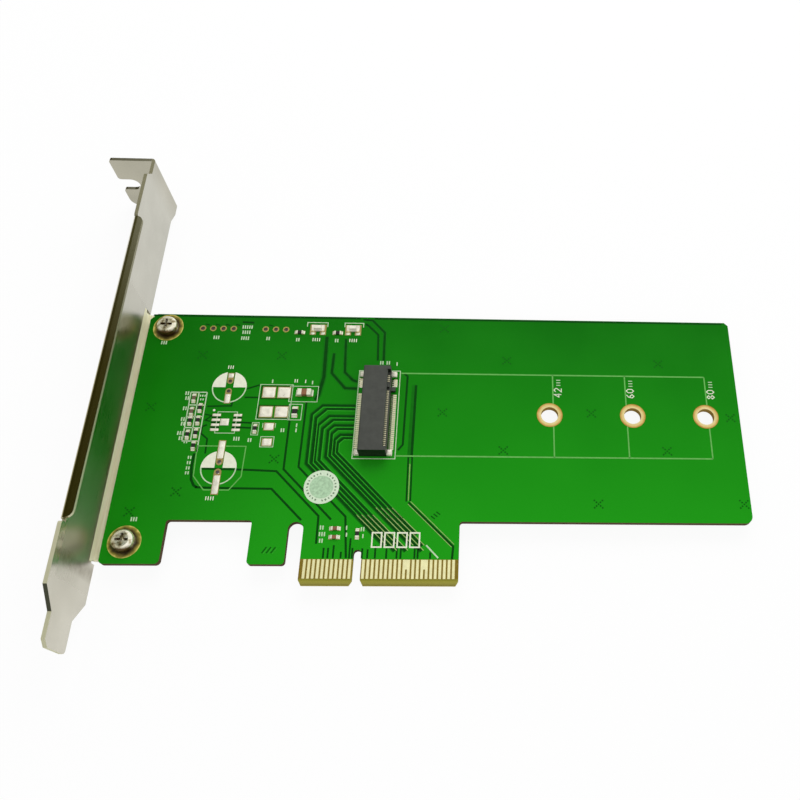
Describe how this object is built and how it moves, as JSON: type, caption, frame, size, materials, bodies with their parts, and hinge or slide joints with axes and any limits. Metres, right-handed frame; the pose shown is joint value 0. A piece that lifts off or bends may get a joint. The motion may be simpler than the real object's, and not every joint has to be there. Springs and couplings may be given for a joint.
{
  "type": "nvme adapter card",
  "caption": "Low-profile adapter card with an edge connector, a socket for a storage module lying flat on the board, standoff holes and a full-height folded bracket.",
  "frame": {"origin": "the middle of the key slot between the fingers, at the end plane of the fingers, on the component surface of the board", "axes": "+X along the board away from the bracket, +Y up the board towards the bracket's screw tab, +Z out of the component surface"},
  "size_m": [0.1603, 0.1209, 0.0222],
  "materials": {
    "steel": "bright zinc plated sheet, smooth, slightly warm",
    "screw_metal": "nickel plated",
    "laminate": "glossy green solder mask over glass-epoxy laminate",
    "gold": "gold plated copper",
    "gold_ring": "gold plated copper",
    "tinned": "tinned copper, uneven",
    "socket_plastic": "moulded dark grey polymer",
    "contact_metal": "gold flashed spring strip",
    "capacitor_ceramic": "matt fired ceramic with tinned ends",
    "resistor_ceramic": "dark glazed face with tinned ends",
    "led_body": "white base with a clear pale lens",
    "label": "thin white label"
  },
  "bodies": {
    "root": {"bracket_screws": "screw_metal", "capacitor_pads_lower": "tinned", "capacitor_pads_upper": "tinned", "circuit_board": "laminate", "contact_pads_component_side": "gold", "contact_pads_solder_side": "gold", "diode_pads": "tinned", "divider_resistor_1": "resistor_ceramic", "divider_resistor_2": "resistor_ceramic", "divider_resistor_3": "resistor_ceramic", "divider_resistor_4": "resistor_ceramic", "divider_resistor_5": "resistor_ceramic", "divider_resistor_6": "resistor_ceramic", "filter_capacitor_1": "capacitor_ceramic", "filter_capacitor_2": "capacitor_ceramic", "header_row_of_four": "gold_ring", "header_row_of_three": "gold_ring", "input_capacitor": "capacitor_ceramic", "input_resistor": "resistor_ceramic", "jumper_pads_lower": "tinned", "jumper_pads_upper": "tinned", "label_sticker": "label", "lane_capacitor_1": "capacitor_ceramic", "lane_capacitor_2": "capacitor_ceramic", "lane_resistor": "resistor_ceramic", "led_1": "led_body", "led_2": "led_body", "led_resistor_1": "resistor_ceramic", "led_resistor_2": "resistor_ceramic", "mounting_bracket": "steel", "regulator_pads": "tinned", "screw_pad_lower": "gold_ring", "screw_pad_upper": "gold_ring", "sense_resistor": "resistor_ceramic", "socket_hold_down_tabs": "tinned", "socket_housing": "socket_plastic", "socket_lower_contacts": "contact_metal", "socket_upper_contacts": "contact_metal", "standoff_rings_42": "gold_ring", "standoff_rings_60": "gold_ring", "standoff_rings_80": "gold_ring"}
  },
  "joints": []
}
